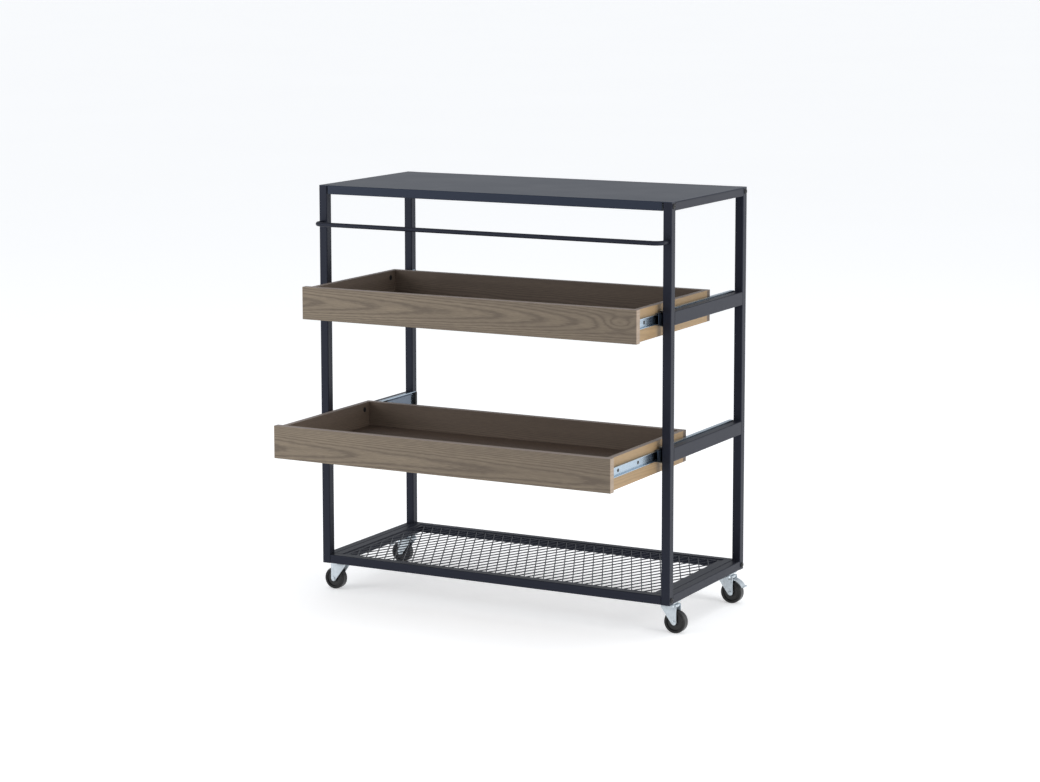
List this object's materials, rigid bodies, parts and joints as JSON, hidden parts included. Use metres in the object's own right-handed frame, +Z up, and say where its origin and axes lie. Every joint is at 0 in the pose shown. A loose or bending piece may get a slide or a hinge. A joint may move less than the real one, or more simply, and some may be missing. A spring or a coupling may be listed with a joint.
{
  "type": "serving cart",
  "caption": "Tall tube-frame serving cart with a sheet-steel top, two wooden drawers standing open on ball slides, a mesh bottom shelf, a front hanging rail and swivel casters with brakes.",
  "frame": {"origin": "on the floor, under the middle of the frame's width and depth", "axes": "+X to the cart's right seen from its front, -Y out of the front, where the drawers open, +Z up"},
  "size_m": [0.9284, 0.637, 0.94],
  "materials": {
    "powder_coated_frame": "satin charcoal powder coat",
    "powder_coated_top": "satin charcoal powder coat",
    "powder_coated_mesh": "satin charcoal powder coat",
    "black_bolts": "black oxide",
    "zinc_steel": "bright zinc plate",
    "drawer_front_wood": "grey-brown oiled veneer",
    "drawer_box_wood": "grey-brown oiled veneer with pale edges",
    "drawer_bottom_board": "dark brown lacquered board",
    "black_fittings": "matt black",
    "black_wheels": "satin black moulding"
  },
  "bodies": {
    "frame": {"bottom_side_rail_left": "powder_coated_frame", "bottom_side_rail_right": "powder_coated_frame", "caster_fasteners": "zinc_steel", "caster_plate_front_left": "zinc_steel", "caster_plate_front_right": "zinc_steel", "caster_plate_rear_left": "zinc_steel", "caster_plate_rear_right": "zinc_steel", "corner_bolts": "black_bolts", "corner_nut_blocks": "zinc_steel", "frame_screws": "zinc_steel", "hanging_rail": "powder_coated_frame", "lower_slide_bar_left": "powder_coated_frame", "lower_slide_bar_right": "powder_coated_frame", "lower_slide_cabinet_sections": "zinc_steel", "post_front_left": "powder_coated_frame", "post_front_right": "powder_coated_frame", "post_rear_left": "powder_coated_frame", "post_rear_right": "powder_coated_frame", "shelf_mesh": "powder_coated_mesh", "shelf_rail_front": "powder_coated_frame", "shelf_rail_left": "powder_coated_frame", "shelf_rail_rear": "powder_coated_frame", "shelf_rail_right": "powder_coated_frame", "slide_bumpers": "black_fittings", "top_panel": "powder_coated_top", "top_side_rail_left": "powder_coated_frame", "top_side_rail_right": "powder_coated_frame", "upper_slide_bar_left": "powder_coated_frame", "upper_slide_bar_right": "powder_coated_frame", "upper_slide_cabinet_sections": "zinc_steel"},
    "upper_middle_slides": {"upper_slide_middle_sections": "zinc_steel"},
    "upper_drawer": {"upper_drawer_back": "drawer_box_wood", "upper_drawer_bottom": "drawer_bottom_board", "upper_drawer_fittings": "black_fittings", "upper_drawer_front": "drawer_front_wood", "upper_drawer_side_left": "drawer_box_wood", "upper_drawer_side_right": "drawer_box_wood", "upper_slide_drawer_sections": "zinc_steel"},
    "lower_middle_slides": {"lower_slide_middle_sections": "zinc_steel"},
    "lower_drawer": {"lower_drawer_back": "drawer_box_wood", "lower_drawer_bottom": "drawer_bottom_board", "lower_drawer_fittings": "black_fittings", "lower_drawer_front": "drawer_front_wood", "lower_drawer_side_left": "drawer_box_wood", "lower_drawer_side_right": "drawer_box_wood", "lower_slide_drawer_sections": "zinc_steel"},
    "front_left_fork": {"caster_fork_front_left": "zinc_steel", "caster_axle_front_left": "zinc_steel"},
    "front_left_wheel": {"caster_wheel_front_left": "black_wheels"},
    "front_right_fork": {"caster_fork_front_right": "zinc_steel", "caster_axle_front_right": "zinc_steel"},
    "front_right_wheel": {"caster_wheel_front_right": "black_wheels"},
    "rear_left_fork": {"caster_fork_rear_left": "zinc_steel", "caster_axle_rear_left": "zinc_steel"},
    "rear_left_wheel": {"caster_wheel_rear_left": "black_wheels"},
    "rear_right_fork": {"caster_fork_rear_right": "zinc_steel", "caster_axle_rear_right": "zinc_steel"},
    "rear_right_wheel": {"caster_wheel_rear_right": "black_wheels"},
    "rear_left_brake": {"brake_lever_rear_left": "zinc_steel"},
    "rear_right_brake": {"brake_lever_rear_right": "zinc_steel"}
  },
  "joints": [
    {"name": "upper_drawer_slide", "type": "slide", "parent": "frame", "child": "upper_drawer", "axis": [0, -1, 0], "range_m": [-0.101, 0.249]},
    {"name": "upper_middle_slide", "type": "slide", "parent": "frame", "child": "upper_middle_slides", "axis": [0, -1, 0], "range_m": [-0.01565, 0.03785]},
    {"name": "lower_drawer_slide", "type": "slide", "parent": "frame", "child": "lower_drawer", "axis": [0, -1, 0], "range_m": [-0.223, 0.127]},
    {"name": "lower_middle_slide", "type": "slide", "parent": "frame", "child": "lower_middle_slides", "axis": [0, -1, 0], "range_m": [-0.01611, 0.00939]},
    {"name": "front_left_swivel", "type": "hinge", "parent": "frame", "child": "front_left_fork", "pos_m": [-0.4175, -0.152, 0.063], "axis": [0, 0, 1], "continuous": true},
    {"name": "front_left_roll", "type": "hinge", "parent": "front_left_fork", "child": "front_left_wheel", "pos_m": [-0.4315, -0.152, 0.025], "axis": [0, -1, 0], "continuous": true},
    {"name": "front_right_swivel", "type": "hinge", "parent": "frame", "child": "front_right_fork", "pos_m": [0.4175, -0.152, 0.063], "axis": [0, 0, 1], "continuous": true},
    {"name": "front_right_roll", "type": "hinge", "parent": "front_right_fork", "child": "front_right_wheel", "pos_m": [0.4315, -0.152, 0.025], "axis": [0, 1, 0], "continuous": true},
    {"name": "rear_left_swivel", "type": "hinge", "parent": "frame", "child": "rear_left_fork", "pos_m": [-0.4175, 0.152, 0.063], "axis": [0, 0, 1], "continuous": true},
    {"name": "rear_left_roll", "type": "hinge", "parent": "rear_left_fork", "child": "rear_left_wheel", "pos_m": [-0.4315, 0.152, 0.025], "axis": [0, -1, 0], "continuous": true},
    {"name": "rear_right_swivel", "type": "hinge", "parent": "frame", "child": "rear_right_fork", "pos_m": [0.4175, 0.152, 0.063], "axis": [0, 0, 1], "continuous": true},
    {"name": "rear_right_roll", "type": "hinge", "parent": "rear_right_fork", "child": "rear_right_wheel", "pos_m": [0.4315, 0.152, 0.025], "axis": [0, 1, 0], "continuous": true},
    {"name": "rear_left_brake_pivot", "type": "hinge", "parent": "rear_left_fork", "child": "rear_left_brake", "pos_m": [-0.4305, 0.152, 0.0564], "axis": [0, -1, 0], "range_deg": [0, 8]},
    {"name": "rear_right_brake_pivot", "type": "hinge", "parent": "rear_right_fork", "child": "rear_right_brake", "pos_m": [0.4305, 0.152, 0.0564], "axis": [0, 1, 0], "range_deg": [0, 8]}
  ],
  "couplings": [
    {"joint": "upper_middle_slide", "follows": "upper_drawer_slide", "ratio": 0.15},
    {"joint": "lower_middle_slide", "follows": "lower_drawer_slide", "ratio": 0.07}
  ]
}
